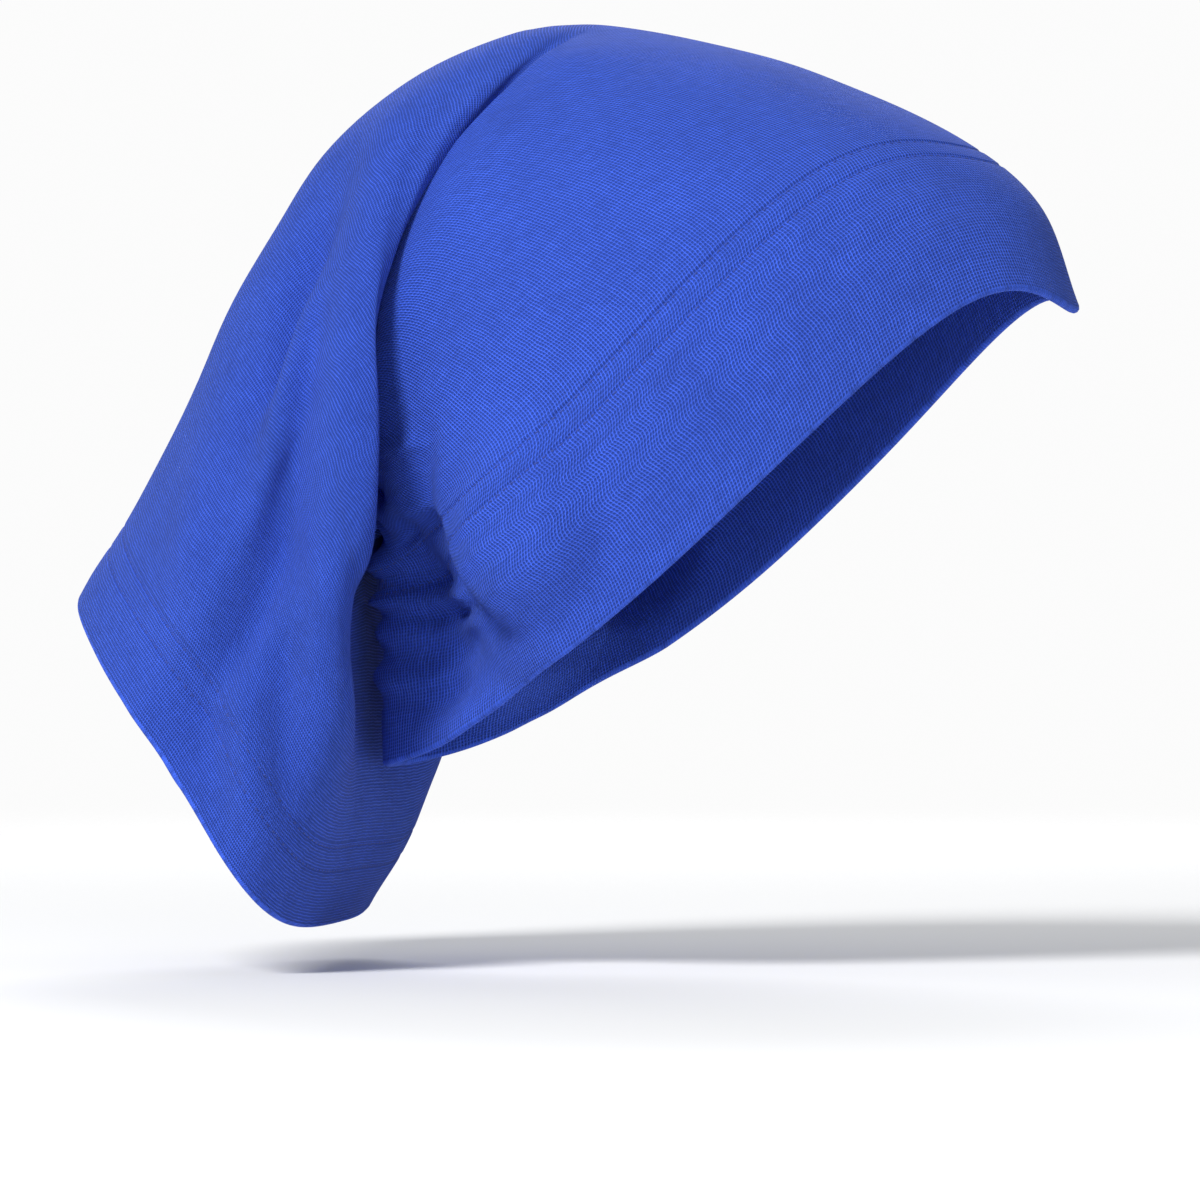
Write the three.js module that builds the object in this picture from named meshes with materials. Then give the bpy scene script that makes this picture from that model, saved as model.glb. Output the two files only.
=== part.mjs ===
// An underscarf cap: one tube of stretch jersey, drawn over the head like a loose sleeve. Its front
// end is a deep doubled band round the face, an elastic gathers its underside at the nape, and behind
// that gather the tube falls open down the back of the neck, ending in a narrow doubled hem.
// Millimetres, +Z up. The face looks along -Y and the wearer's left is +X. The origin is on the inside
// of the crown, where the top of the head carries the cap.
import * as THREE from "three";

// Sizes of the fitted front half, as worn
const HEAD_LENGTH = 183; // brow to nape
const HEAD_DROP = 192; // crown to the face edge at the nape
const HEAD_WIDTH = 150; // over the ears

// Sizes of the loose back half
const FALL_REACH = 145; // crown to the hem's rearmost point
const FALL_DROP = 233; // crown to the hem's lowest point
const FALL_WIDTH = 150;

// Cloth, hems and elastic
const JERSEY = 1.2; // one layer
const FACE_BAND = 50; // doubled band round the face
const BACK_HEM = 23; // doubled hem at the open end
const ELASTIC_WIDTH = 8;
const ELASTIC_THICK = 1.2;
const ELASTIC_INSET = 1.5; // from the gather line to the elastic
const ELASTIC_FROM = 2.05; // angle of its upper ends round the gather, radians from the crown
const SEAM_GAP = 0.3; // between neighbouring pieces
const PLEAT_HEIGHT = 1.4; // either way, on the gather line
const PLEAT_REACH = 0.9; // sections to either side of the gather line
const PLEATS_ROUND = 18; // in a whole turn, of which the elastic draws the lower third

// Fineness of the solids
const FRONT_STEPS = 11; // round one side of a loop, crown to ear
const BACK_STEPS = 22; // round one side of a loop, ear to nape
const TRACE_STEPS = 8; // between two sections, where a length is measured
const NORMAL_STEP = 0.05; // of a section, to either side of a point, where the cloth's slope is taken

// Loops across the tube. Each runs from its top on the crown line to its end on the nape line. Forward
// and down are shares of the lengths above, a bow is the loop's bend forward as a share of its own
// length, half is a share of the half width, egg moves the widest place down, square sharpens the
// lower corner, corner pushes that corner forward as a share of the half width, and brow lowers the
// middle of the forehead as a share of the drop. Rows is the number of mesh rows up to the next loop.
const COLUMNS = [
  "forward", "down", "endForward", "endDown", "bowTop", "bowEnd",
  "half", "egg", "square", "corner", "brow", "rows",
];
const HEAD_LOOPS = {
  face_edge: [0.655, 0.279, -0.34, 1, 0.004, 0.129, 0.899, 0, 2, 0, 0.108, 2],
  band_middle: [0.6, 0.229, -0.343, 0.885, -0.068, 0.125, 0.985, 0, 2, 0, 0.02, 2],
  band_top: [0.489, 0.148, -0.35, 0.771, -0.062, 0.114, 1, 0, 2, 0, 0.012, 3],
  crown_front: [0.313, 0.08, -0.355, 0.75, -0.1, 0.07, 0.97, 0, 2, 0, 0, 3],
  crown_middle: [0.148, 0.031, -0.355, 0.734, -0.16, 0, 0.85, 0, 2, 0, 0, 4],
  gather: [-0.022, 0.001, -0.323, 0.677, -0.19, -0.137, 0.533, 0, 2, 0, 0, 3],
};
const FALL_LOOPS = {
  fold_inside: [-0.083, 0.001, -0.467, 0.598, -0.139, -0.061, 0.825, 0.85, 2.2, 0.064, 0, 3],
  fold_outside: [-0.162, 0.009, -0.47, 0.617, -0.206, 0.087, 0.935, 0.89, 2.6, 0.178, 0, 4],
  fall_upper: [-0.462, 0.1, -0.468, 0.66, 0.015, 0.04, 0.959, 0.684, 3, 0.172, 0, 4],
  fall_middle: [-0.607, 0.212, -0.466, 0.716, -0.026, 0.041, 0.991, 0.472, 3.5, 0.17, 0, 4],
  fall_lower: [-0.751, 0.386, -0.456, 0.797, 0.021, 0.03, 1.007, 0.326, 4, 0.16, 0, 4],
  hem_top: [-0.899, 0.564, -0.459, 0.889, 0.004, 0.1, 1.026, 0.155, 4, 0.08, 0, 2],
  hem_edge: [-0.974, 0.628, -0.525, 1.001, 0.084, 0.059, 0.997, -0.009, 4, -0.019, 0, 0],
};

// Where the ears push the cloth out, as shares of the head's length and drop, with the height as a
// share of the half width
const EAR = { forward: -0.065, down: 0.67, reach: 0.135, depth: 0.165, height: 0.1 };

// Folds of the fall, as straight runs seen from the side: shares of the fall's reach and drop from one
// end to the other, then the fold's half width and its height as shares of the half width. Hollows
// have a negative height.
const FOLD_COLUMNS = ["forward", "down", "endForward", "endDown", "spread", "height"];
const RIGHT_FOLDS = {
  upper_hollow: [-0.47, 0.18, -0.57, 0.36, 0.15, -0.05],
  middle_hollow: [-0.58, 0.36, -0.61, 0.52, 0.14, -0.035],
  lower_hollow: [-0.49, 0.42, -0.5, 0.58, 0.11, -0.035],
  slanting_hollow: [-0.51, 0.6, -0.64, 0.72, 0.14, -0.035],
  rear_ridge: [-0.64, 0.42, -0.64, 0.66, 0.15, 0.03],
  hem_ridge: [-0.54, 0.76, -0.54, 0.9, 0.11, 0.02],
};
const LEFT_FOLDS = {
  upper_hollow: [-0.45, 0.2, -0.6, 0.42, 0.15, -0.045],
  lower_hollow: [-0.5, 0.46, -0.58, 0.7, 0.13, -0.04],
  rear_ridge: [-0.68, 0.44, -0.66, 0.7, 0.15, 0.03],
};

const jersey = new THREE.MeshStandardMaterial({ color: 0x395bc7, roughness: 0.9, metalness: 0 });
const elasticWeb = new THREE.MeshStandardMaterial({ color: 0x2b46a5, roughness: 0.85, metalness: 0 });

const named = (columns, row) => Object.fromEntries(columns.map((column, i) => [column, row[i]]));

// A smooth step from 0 to 1 as x goes from one value to the other, upwards or downwards
function smooth(from, to, x) {
  const share = THREE.MathUtils.clamp((x - from) / (to - from), 0, 1);
  return share ** 2 * (3 - 2 * share);
}

function loop(row, length, drop, width) {
  const shares = named(COLUMNS, row);
  return {
    top: new THREE.Vector2(shares.forward * length, -shares.down * drop),
    end: new THREE.Vector2(shares.endForward * length, -shares.endDown * drop),
    half: (shares.half * width) / 2,
    corner: (shares.corner * width) / 2,
    brow: shares.brow * drop,
    bowTop: shares.bowTop,
    bowEnd: shares.bowEnd,
    egg: shares.egg,
    square: shares.square,
    rows: shares.rows,
  };
}

const headLoops = Object.values(HEAD_LOOPS).map((row) => loop(row, HEAD_LENGTH, HEAD_DROP, HEAD_WIDTH));
const fallLoops = Object.values(FALL_LOOPS).map((row) => loop(row, FALL_REACH, FALL_DROP, FALL_WIDTH));
const loops = [...headLoops, ...fallLoops];
const GATHER = headLoops.length - 1;
const HEM_EDGE = loops.length - 1;

// A point of one loop. The angle runs from 0 on the crown line, over the wearer's left side, to 180 at
// the nape.
function loopPoint(section, angle) {
  const sine = Math.sin(angle);
  const cosine = Math.cos(angle);
  const power = 2 / THREE.MathUtils.lerp(2, section.square, smooth(0.3, -0.3, cosine));
  const across = Math.sign(sine) * Math.abs(sine) ** power;
  const even = (1 - Math.sign(cosine) * Math.abs(cosine) ** power) / 2;
  const share = even * (1 + section.egg * (1 - even));
  const chord = section.end.clone().sub(section.top);
  const bend = 3 * share * (1 - share) * ((1 - share) * section.bowTop + share * section.bowEnd);
  const corner = section.corner * across ** 2 * share ** 2;
  const forward = section.top.x + chord.x * share - chord.y * bend + corner;
  const brow = section.brow * Math.max(0, cosine) ** 8;
  const up = section.top.y + chord.y * share + chord.x * bend - brow;
  return new THREE.Vector3(section.half * across, -forward, up);
}

// The lines that run along the tube: one smooth curve at the crown, and two that meet in a crease at
// the gather from the temple down.
function lengthLine(angle) {
  const points = loops.map((section) => loopPoint(section, angle));
  const whole = new THREE.CatmullRomCurve3(points);
  const front = new THREE.CatmullRomCurve3(points.slice(0, GATHER + 1));
  const back = new THREE.CatmullRomCurve3(points.slice(GATHER));
  const creased = smooth(0.95, 0.6, Math.cos(angle));
  return (place) => {
    const joined = whole.getPoint(place / HEM_EDGE);
    const ahead = place <= GATHER;
    const part = ahead ? place / GATHER : (place - GATHER) / (HEM_EDGE - GATHER);
    return joined.lerp((ahead ? front : back).getPoint(part), creased);
  };
}

// The place along a line, counted in sections, that lies a given length of cloth from one of its ends.
function placeAtLength(line, start, end, length) {
  const steps = Math.round(Math.abs(end - start) * TRACE_STEPS);
  let last = line(start);
  let walked = 0;
  for (let i = 1; i <= steps; i++) {
    const place = THREE.MathUtils.lerp(start, end, i / steps);
    const next = line(place);
    const step = next.distanceTo(last);
    if (walked + step >= length) {
      return place - ((walked + step - length) / step) * ((end - start) / steps);
    }
    walked += step;
    last = next;
  }
  return end;
}

// Angles round the tube, closer together from the ear to the nape, where the gathers are.
function anglesRound() {
  const side = [];
  for (let i = 0; i < FRONT_STEPS; i++) side.push(((i / FRONT_STEPS) * Math.PI) / 2);
  for (let i = 0; i < BACK_STEPS; i++) side.push((Math.PI / 2) * (1 + i / BACK_STEPS));
  const other = side.slice(1).map((angle) => 2 * Math.PI - angle);
  return [...side, Math.PI, ...other.reverse()];
}

const angles = anglesRound();
const lines = angles.map(lengthLine);

// Rows of places between two borders, closer where the section table asks for it.
function rowShares(starts, ends) {
  const from = Math.max(...starts.slice(0, FRONT_STEPS));
  const to = Math.min(...ends);
  const steps = (rows, section) => Array.from({ length: rows }, (_, i) => section + i / rows);
  const stops = loops.flatMap((section, i) => steps(section.rows, i));
  const between = stops.filter((stop) => stop > from + 0.2 && stop < to - 0.2);
  return [from, ...between, to].map((stop) => (stop - from) / (to - from));
}

// How far the ears and the folds push a point of the cloth out, seen from the side.
const folds = [RIGHT_FOLDS, LEFT_FOLDS].map((table) =>
  Object.values(table).map((row) => {
    const shares = named(FOLD_COLUMNS, row);
    const from = new THREE.Vector3(0, -shares.forward * FALL_REACH, -shares.down * FALL_DROP);
    const to = new THREE.Vector3(0, -shares.endForward * FALL_REACH, -shares.endDown * FALL_DROP);
    const half = FALL_WIDTH / 2;
    return { run: new THREE.Line3(from, to), spread: shares.spread * half, height: shares.height * half };
  }),
);

function relief(point, place) {
  const aside = new THREE.Vector3(0, point.y, point.z);
  const flank = smooth(0.3, 0.8, Math.abs(point.x) / (HEAD_WIDTH / 2));
  if (place <= GATHER) {
    const away = Math.hypot(
      (-point.y / HEAD_LENGTH - EAR.forward) / EAR.reach,
      (-point.z / HEAD_DROP - EAR.down) / EAR.depth,
    );
    return EAR.height * (HEAD_WIDTH / 2) * smooth(1, 0.35, away) * flank;
  }
  const near = new THREE.Vector3();
  return folds[point.x < 0 ? 0 : 1].reduce((sum, { run, spread, height }) => {
    const distance = run.closestPointToPoint(aside, true, near).distanceTo(aside);
    return sum + height * flank * Math.exp(-((distance / spread) ** 2));
  }, 0);
}

// The small pleats that the elastic draws the cloth into, deepest on the gather line.
function pleats(angle, place) {
  const drawn = smooth(Math.cos(ELASTIC_FROM) + 0.15, Math.cos(ELASTIC_FROM) - 0.15, Math.cos(angle));
  const fade = smooth(PLEAT_REACH, 0, Math.abs(place - GATHER));
  return PLEAT_HEIGHT * drawn * fade * Math.cos(PLEATS_ROUND * (angle - Math.PI));
}

// A grid of points on the cloth's outer face, from border to border, with the direction out of the
// cloth at each.
function clothGrid(starts, ends, columns = angles.map((angle, i) => i), pleating = pleats) {
  const count = lines.length;
  const rows = rowShares(starts, ends).map((share) =>
    columns.map((i) => {
      const place = THREE.MathUtils.lerp(starts[i], ends[i], share);
      const ahead = lines[i](Math.max(place - NORMAL_STEP, 0));
      const behind = lines[i](Math.min(place + NORMAL_STEP, HEM_EDGE));
      const round = lines[(i + 1) % count](place).sub(lines[(i + count - 1) % count](place));
      const normal = round.cross(behind.sub(ahead)).normalize();
      const point = lines[i](place);
      const height = relief(point, place) + pleating(angles[i], place);
      return { point: point.addScaledVector(normal, height), normal };
    }),
  );
  return { rows, closed: columns.length === count };
}

// A wall of cloth: the grid's face set in by one depth and again by another, with the rims between them.
function clothWall({ rows, closed }, outside, inside) {
  const count = rows[0].length;
  const sunk = (depth) => ({ point, normal }) => point.clone().addScaledVector(normal, -depth).toArray();
  const vertices = [outside, inside].flatMap((depth) => rows.flat().flatMap(sunk(depth)));
  const outer = (r, i) => r * count + (i % count);
  const inner = (r, i) => (rows.length + r) * count + (i % count);
  const faces = [];
  const quad = (a, b, c, d) => faces.push(a, b, c, a, c, d);
  const last = rows.length - 1;
  const strips = closed ? count : count - 1;
  for (let i = 0; i < strips; i++) {
    for (let r = 0; r < last; r++) {
      quad(outer(r, i), outer(r, i + 1), outer(r + 1, i + 1), outer(r + 1, i));
      quad(inner(r, i), inner(r + 1, i), inner(r + 1, i + 1), inner(r, i + 1));
    }
    quad(outer(0, i), inner(0, i), inner(0, i + 1), outer(0, i + 1));
    quad(outer(last, i), outer(last, i + 1), inner(last, i + 1), inner(last, i));
  }
  if (!closed) {
    for (let r = 0; r < last; r++) {
      quad(outer(r, 0), outer(r + 1, 0), inner(r + 1, 0), inner(r, 0));
      quad(outer(r, count - 1), inner(r, count - 1), inner(r + 1, count - 1), outer(r + 1, count - 1));
    }
  }
  const geometry = new THREE.BufferGeometry();
  geometry.setAttribute("position", new THREE.Float32BufferAttribute(vertices, 3));
  geometry.setIndex(faces);
  geometry.translate(0, 0, JERSEY);
  return geometry;
}

function piece(name, geometry, material) {
  const mesh = new THREE.Mesh(geometry, material);
  mesh.name = name;
  return mesh;
}

// Borders of the pieces, as places along each line
const fromFace = (length) => lines.map((line) => placeAtLength(line, 0, GATHER, length));
const fromHem = (length) => lines.map((line) => placeAtLength(line, HEM_EDGE, GATHER, length));
const fromGather = (length) => lines.map((line) => placeAtLength(line, GATHER, 0, length));

const band = clothGrid(fromFace(0), fromFace(FACE_BAND - SEAM_GAP));
const gatherLine = lines.map(() => GATHER);
const front = clothGrid(fromFace(FACE_BAND), gatherLine);
const fall = clothGrid(gatherLine, fromHem(BACK_HEM));
const body = { rows: [...front.rows, ...fall.rows.slice(1)], closed: true };
const hem = clothGrid(fromHem(BACK_HEM - SEAM_GAP), fromHem(0));
const underneath = (angle) => Math.cos(angle) < Math.cos(ELASTIC_FROM);
const elasticColumns = angles.map((angle, i) => i).filter((i) => underneath(angles[i]));
const underPleats = () => -PLEAT_HEIGHT;
const elasticStarts = fromGather(ELASTIC_INSET + ELASTIC_WIDTH);
const elastic = clothGrid(elasticStarts, fromGather(ELASTIC_INSET), elasticColumns, underPleats);

const cap = new THREE.Group();
cap.add(piece("face_band", clothWall(band, 0, 2 * JERSEY), jersey));
cap.add(piece("tube_body", clothWall(body, 0, JERSEY), jersey));
cap.add(piece("back_hem", clothWall(hem, 0, 2 * JERSEY), jersey));
const elasticDepth = JERSEY + SEAM_GAP;
cap.add(piece("nape_elastic", clothWall(elastic, elasticDepth, elasticDepth + ELASTIC_THICK), elasticWeb));

export default cap;
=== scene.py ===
# %% [markdown]
# # An underscarf cap of stretch jersey
# The cap is one tube of thin royal blue jersey in the form that it takes when it is worn. A deep doubled band
# goes round the face, the middle is stretched over the crown, an elastic pulls the underside in at the nape, and
# the rest of the tube hangs open behind as a soft bag with a narrow doubled hem.
# The lesson builds the cloth from a few loops across the tube, cuts it into its sewn pieces, and then adds the
# stitches, the elastic and the finishes.

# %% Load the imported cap
import math

import bpy
import numpy as np
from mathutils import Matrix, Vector


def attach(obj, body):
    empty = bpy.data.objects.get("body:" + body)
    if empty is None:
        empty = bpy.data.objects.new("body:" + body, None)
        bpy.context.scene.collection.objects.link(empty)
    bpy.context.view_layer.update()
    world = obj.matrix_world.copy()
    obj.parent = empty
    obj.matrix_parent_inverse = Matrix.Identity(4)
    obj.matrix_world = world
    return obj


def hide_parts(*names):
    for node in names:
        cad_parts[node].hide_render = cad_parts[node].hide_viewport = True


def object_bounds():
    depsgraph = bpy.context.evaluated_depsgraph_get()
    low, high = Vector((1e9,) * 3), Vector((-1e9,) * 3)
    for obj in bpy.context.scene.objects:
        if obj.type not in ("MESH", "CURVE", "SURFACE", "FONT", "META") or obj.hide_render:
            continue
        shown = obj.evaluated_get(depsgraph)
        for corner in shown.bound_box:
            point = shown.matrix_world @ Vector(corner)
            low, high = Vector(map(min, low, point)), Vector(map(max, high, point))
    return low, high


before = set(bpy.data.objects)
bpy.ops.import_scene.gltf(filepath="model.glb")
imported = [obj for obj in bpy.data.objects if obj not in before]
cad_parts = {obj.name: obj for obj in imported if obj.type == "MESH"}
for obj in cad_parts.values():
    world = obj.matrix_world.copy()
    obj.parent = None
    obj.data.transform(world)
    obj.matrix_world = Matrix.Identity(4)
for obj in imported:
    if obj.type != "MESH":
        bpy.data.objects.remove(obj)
cad_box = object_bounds()
print("nodes:", sorted(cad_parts))
print("box of the solids, mm:", [[round(v * 1000, 1) for v in corner] for corner in cad_box])

# %% [markdown]
# ## Sizes
# Every length is in millimetres here and turned into metres when a mesh is made. The head sizes drive the front
# half and the fall sizes drive the loose back half, just as a pattern cutter would keep them apart.

# %% Sizes of the cap
HEAD_LENGTH, HEAD_DROP, HEAD_WIDTH = 183.0, 192.0, 150.0
FALL_REACH, FALL_DROP, FALL_WIDTH = 145.0, 233.0, 150.0
JERSEY = 1.2
FACE_BAND, BACK_HEM = 50.0, 23.0
ELASTIC_WIDTH, ELASTIC_THICK, ELASTIC_INSET, ELASTIC_FROM = 8.0, 1.2, 1.5, 2.05
SEAM_GAP = 0.3

# %% [markdown]
# ## The loops across the tube
# A sleeve of cloth is easy to describe by cross-sections. Each loop has a top on the crown line, an end on the
# nape line, two bows that bend it forward or back, and a half width. A table of thirteen loops is short enough to
# read and to correct by eye, which a sculpted mesh is not.

# %% Table of loops
COLUMNS = ["forward", "down", "end_forward", "end_down", "bow_top", "bow_end",
           "half", "egg", "square", "corner", "brow"]
HEAD_LOOPS = {
    "face_edge": [0.655, 0.279, -0.34, 1, 0.005, 0.129, 0.899, 0, 2, 0, 0.108],
    "band_middle": [0.6, 0.229, -0.343, 0.885, -0.068, 0.125, 0.985, 0, 2, 0, 0.02],
    "band_top": [0.49, 0.148, -0.35, 0.771, -0.062, 0.114, 1, 0, 2, 0, 0.012],
    "crown_front": [0.313, 0.08, -0.355, 0.75, -0.1, 0.07, 0.97, 0, 2, 0, 0],
    "crown_middle": [0.149, 0.031, -0.355, 0.734, -0.16, 0, 0.85, 0, 2, 0, 0],
    "gather": [-0.022, 0.001, -0.323, 0.677, -0.19, -0.137, 0.533, 0, 2, 0, 0],
}
FALL_LOOPS = {
    "fold_inside": [-0.083, 0.001, -0.467, 0.598, -0.139, -0.062, 0.825, 0.85, 2.2, 0.064, 0],
    "fold_outside": [-0.162, 0.009, -0.47, 0.617, -0.206, 0.087, 0.935, 0.89, 2.6, 0.178, 0],
    "fall_upper": [-0.462, 0.1, -0.468, 0.66, 0.015, 0.04, 0.959, 0.684, 3, 0.172, 0],
    "fall_middle": [-0.607, 0.212, -0.466, 0.716, -0.026, 0.041, 0.991, 0.472, 3.5, 0.17, 0],
    "fall_lower": [-0.751, 0.386, -0.456, 0.797, 0.021, 0.03, 1.007, 0.326, 4, 0.16, 0],
    "hem_top": [-0.899, 0.564, -0.458, 0.889, 0.004, 0.1, 1.026, 0.155, 4, 0.08, 0],
    "hem_edge": [-0.974, 0.628, -0.525, 1.001, 0.084, 0.059, 0.997, -0.009, 4, -0.019, 0],
}
GATHER = len(HEAD_LOOPS) - 1
HEM_EDGE = len(HEAD_LOOPS) + len(FALL_LOOPS) - 1
LOOPS = np.array(list(HEAD_LOOPS.values()) + list(FALL_LOOPS.values()), float)
SPANS = np.array([[HEAD_LENGTH, HEAD_DROP, HEAD_WIDTH]] * len(HEAD_LOOPS)
                 + [[FALL_REACH, FALL_DROP, FALL_WIDTH]] * len(FALL_LOOPS))
print(len(LOOPS), "loops, the gather is number", GATHER)


# %% [markdown]
# ## From loops to one smooth surface
# A point of the cloth has two numbers: its place along the tube, counted in loops, and its angle round the tube.
# Between the loops the lines along the tube are Catmull-Rom curves, which pass through every loop. At the gather
# the curves are cut in two, so that the cloth turns back on itself in a crease, except over the crown.

# %% Points of the thirteen loops
def smooth(start, stop, x):
    share = np.clip((x - start) / (stop - start), 0, 1)
    return share**2 * (3 - 2 * share)


def loop_points(angle):
    forward, down, end_forward, end_down, bow_top, bow_end, half, egg, square, corner, brow = (
        LOOPS[:, k : k + 1] for k in range(len(COLUMNS))
    )
    length, drop, width = (SPANS[:, k : k + 1] for k in range(3))
    sine, cosine = np.sin(angle)[None], np.cos(angle)[None]
    power = 2 / (2 + (square - 2) * smooth(0.3, -0.3, cosine))
    across = np.sign(sine) * np.abs(sine) ** power
    even = (1 - np.sign(cosine) * np.abs(cosine) ** power) / 2
    share = even * (1 + egg * (1 - even))
    top_f, top_z = forward * length, -down * drop
    chord_f, chord_z = end_forward * length - top_f, -end_down * drop - top_z
    bend = 3 * share * (1 - share) * ((1 - share) * bow_top + share * bow_end)
    out_f = top_f + chord_f * share - chord_z * bend + corner * width / 2 * across**2 * share**2
    out_z = top_z + chord_z * share + chord_f * bend - brow * drop * np.maximum(0, cosine) ** 8
    return np.stack([half * width / 2 * across, -out_f, out_z + JERSEY], -1)


# %% Curves through the loops
def through(points, place):
    """Centripetal Catmull-Rom curves through points (loops, angles, 3) at place (rows, angles)."""
    last = len(points) - 1
    index = np.clip(np.floor(place).astype(int), 0, last - 1)
    share = (place - index)[..., None]
    padded = np.concatenate([2 * points[:1] - points[1:2], points, 2 * points[-1:] - points[-2:-1]])
    column = np.arange(points.shape[1])[None].repeat(len(place), 0)
    p0, p1, p2, p3 = (padded[index + k, column] for k in range(4))
    knot = lambda a, b: np.maximum(np.sqrt(np.linalg.norm(a - b, axis=-1, keepdims=True)), 1e-4)
    d0, d1, d2 = knot(p0, p1), knot(p1, p2), knot(p2, p3)
    t1 = ((p1 - p0) / d0 - (p2 - p0) / (d0 + d1) + (p2 - p1) / d1) * d1
    t2 = ((p2 - p1) / d1 - (p3 - p1) / (d1 + d2) + (p3 - p2) / d2) * d1
    cubic = 2 * p1 - 2 * p2 + t1 + t2
    return p1 + t1 * share + (3 * p2 - 3 * p1 - 2 * t1 - t2) * share**2 + cubic * share**3


def bare(place, angle):
    """The cloth's outer face without its small relief, in mm."""
    points = loop_points(angle)
    whole = through(points, place)
    front = through(points[: GATHER + 1], np.minimum(place, GATHER))
    back = through(points[GATHER:], np.maximum(place - GATHER, 0))
    split = np.where((place <= GATHER)[..., None], front, back)
    creased = smooth(0.95, 0.6, np.cos(angle))[None, :, None]
    return whole + (split - whole) * creased


# %% [markdown]
# ## Measuring along the cloth
# Hems and stitch rows follow the cloth at a set distance from its edge. The lines are walked once in small steps,
# and a table of the distance walked turns millimetres of cloth back into places.

# %% Distance tables
TRACE = np.linspace(0, HEM_EDGE, 60 * HEM_EDGE + 1)


def walked(angle):
    points = bare(TRACE[:, None].repeat(len(angle), 1), angle)
    steps = np.linalg.norm(np.diff(points, axis=0), axis=-1)
    return np.concatenate([np.zeros((1, len(angle))), np.cumsum(steps, 0)])


def place_at(lengths, wanted):
    """Places where each line has been walked for the wanted length."""
    wanted = np.broadcast_to(wanted, (lengths.shape[1],))
    return np.array([np.interp(wanted[i], lengths[:, i], TRACE) for i in range(lengths.shape[1])])


def length_at(lengths, place):
    share = place / HEM_EDGE * (len(TRACE) - 1)
    low = np.clip(np.floor(share).astype(int), 0, len(TRACE) - 2)
    column = np.arange(lengths.shape[1])[None].repeat(len(place), 0)
    a, b = lengths[low, column], lengths[low + 1, column]
    return a + (b - a) * (share - low)


crown = walked(np.array([0.0, np.pi]))[-1]
print("cloth along the crown", round(crown[0]), "mm, along the nape", round(crown[1]), "mm")

# %% [markdown]
# ## Relief: ears, folds, pleats and stitch grooves
# The broad shape alone looks like a shell. What says cloth is the low relief: the ears pressing through, slack
# folds in the loose half, the stacked pleats that the elastic draws in, soft unevenness, and the shallow groove
# that each row of stitches pulls. Adding heights along the surface's own direction keeps all of it tunable. A
# cloth simulation would give folds too, but not the ones in the photograph.

# %% Ears and folds
EAR = dict(forward=-0.065, down=0.67, reach=0.135, depth=0.165, height=0.1)
# Each broad fold: forward and down at its start, the same at its end, then its spread and its height.
RIGHT_FOLDS = {
    "upper_hollow": [-0.47, 0.18, -0.57, 0.36, 0.15, -0.05],
    "middle_hollow": [-0.58, 0.36, -0.61, 0.52, 0.14, -0.035],
    "lower_hollow": [-0.49, 0.42, -0.5, 0.58, 0.11, -0.035],
    "slanting_hollow": [-0.51, 0.6, -0.64, 0.72, 0.14, -0.035],
    "rear_ridge": [-0.64, 0.42, -0.64, 0.66, 0.15, 0.03],
    "hem_ridge": [-0.54, 0.76, -0.54, 0.9, 0.11, 0.02],
}
LEFT_FOLDS = {
    "upper_hollow": [-0.45, 0.2, -0.6, 0.42, 0.15, -0.045],
    "lower_hollow": [-0.5, 0.46, -0.58, 0.7, 0.13, -0.04],
    "rear_ridge": [-0.68, 0.44, -0.66, 0.7, 0.15, 0.03],
}


def fold_heights(table, y, z):
    total = np.zeros_like(y)
    for forward, down, end_forward, end_down, spread, height in table.values():
        start = np.array([-forward * FALL_REACH, -down * FALL_DROP])
        run = np.array([-end_forward * FALL_REACH, -end_down * FALL_DROP]) - start
        share = np.clip(((y - start[0]) * run[0] + (z - start[1]) * run[1]) / (run @ run), 0, 1)
        gap = np.hypot(y - start[0] - share * run[0], z - start[1] - share * run[1])
        total += height * FALL_WIDTH / 2 * np.exp(-((gap / (spread * FALL_WIDTH / 2)) ** 2))
    return total


def broad_relief(points, place):
    x, y, z = points[..., 0], points[..., 1], points[..., 2] - JERSEY
    flank = smooth(0.3, 0.8, np.abs(x) / (HEAD_WIDTH / 2))
    away = np.hypot((-y / HEAD_LENGTH - EAR["forward"]) / EAR["reach"],
                    (-z / HEAD_DROP - EAR["down"]) / EAR["depth"])
    ears = EAR["height"] * HEAD_WIDTH / 2 * smooth(1, 0.35, away)
    folds = np.where(x < 0, fold_heights(RIGHT_FOLDS, y, z), fold_heights(LEFT_FOLDS, y, z))
    return flank * np.where(place <= GATHER, ears, folds)


# %% [markdown]
# On top of the broad folds come the narrow ones that catch the light: valleys that run down the loose half from
# the crease, a roll along its front edge, the rim of the ear with the hollow behind it, and short ridges that fan
# out of the gather. Each is a line drawn on the side of the cap with a spread and a height, faded at both ends.
# The left side isn't the same as the right, because cloth never hangs alike twice.

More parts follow.
